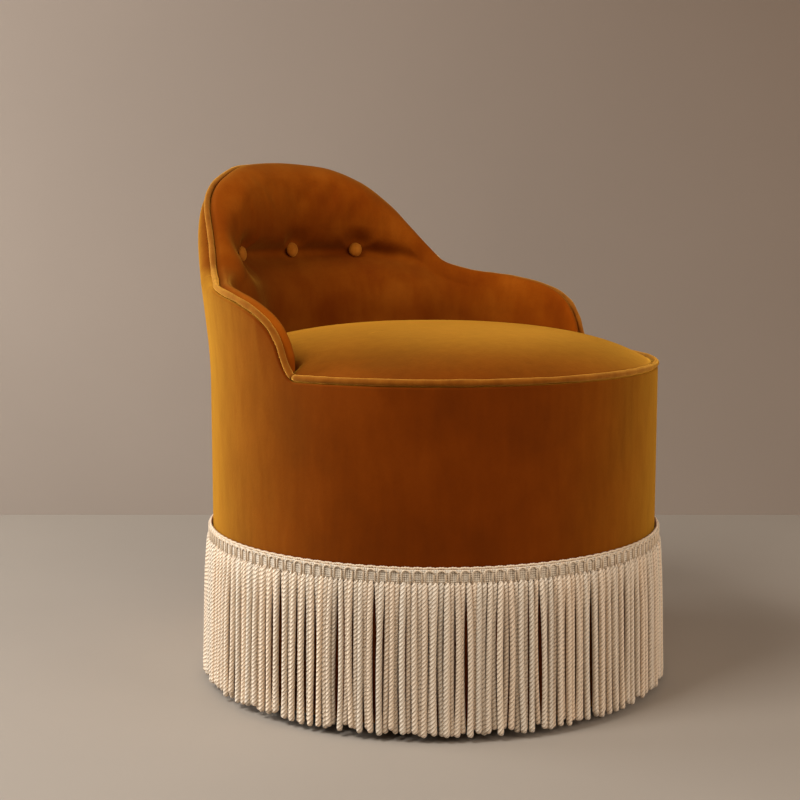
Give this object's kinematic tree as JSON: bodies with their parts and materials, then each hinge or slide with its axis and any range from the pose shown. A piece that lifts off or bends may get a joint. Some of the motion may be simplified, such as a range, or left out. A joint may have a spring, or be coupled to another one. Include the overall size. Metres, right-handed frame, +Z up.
{
  "type": "vanity stool",
  "caption": "Round upholstered vanity stool with a low wrap-around back, buttoned inside, piped edges and a long bullion fringe down to the floor.",
  "frame": {"origin": "on the floor, under the middle of the bounding box", "axes": "+Z up, the back is towards +Y, and who sits on it faces -Y with +X on their left"},
  "size_m": [0.5686, 0.578, 0.6268],
  "materials": {
    "amber_velvet": "short dense pile, matte with a soft sheen",
    "cream_cotton": "twisted mercerised cotton",
    "upholstery_foam": "open-cell foam",
    "jute_webbing": "woven jute",
    "hessian": "coarse plain weave",
    "black_base_cloth": "spun-bonded cloth",
    "waxed_twine": "waxed",
    "birch_plywood": "unfinished",
    "beech": "planed, unfinished",
    "nylon_glide": "moulded",
    "zinc_washer": "zinc plated"
  },
  "bodies": {
    "root": {"seat_cover": "amber_velvet", "inside_back_cover": "amber_velvet", "outside_cover": "amber_velvet", "seat_piping": "amber_velvet", "back_piping": "amber_velvet", "button_1": "amber_velvet", "button_2": "amber_velvet", "button_3": "amber_velvet", "fringe_header": "cream_cotton", "bullion_fringe": "cream_cotton", "seat_foam": "upholstery_foam", "back_foam": "upholstery_foam", "platform_cloth": "hessian", "webbing_cross_1": "jute_webbing", "webbing_cross_2": "jute_webbing", "webbing_cross_3": "jute_webbing", "webbing_cross_4": "jute_webbing", "webbing_long_1": "jute_webbing", "webbing_long_2": "jute_webbing", "webbing_long_3": "jute_webbing", "webbing_long_4": "jute_webbing", "base_board": "birch_plywood", "seat_board": "birch_plywood", "front_panel": "birch_plywood", "back_panel": "birch_plywood", "frame_post_1": "beech", "frame_post_2": "beech", "frame_post_3": "beech", "frame_post_4": "beech", "frame_post_5": "beech", "frame_post_6": "beech", "frame_post_7": "beech", "frame_post_8": "beech", "button_twine_1": "waxed_twine", "button_twine_2": "waxed_twine", "button_twine_3": "waxed_twine", "twine_washer_1": "zinc_washer", "twine_washer_2": "zinc_washer", "twine_washer_3": "zinc_washer", "dust_cover": "black_base_cloth", "glide_1": "nylon_glide", "glide_2": "nylon_glide", "glide_3": "nylon_glide", "glide_4": "nylon_glide", "glide_5": "nylon_glide", "glide_6": "nylon_glide"}
  },
  "joints": []
}
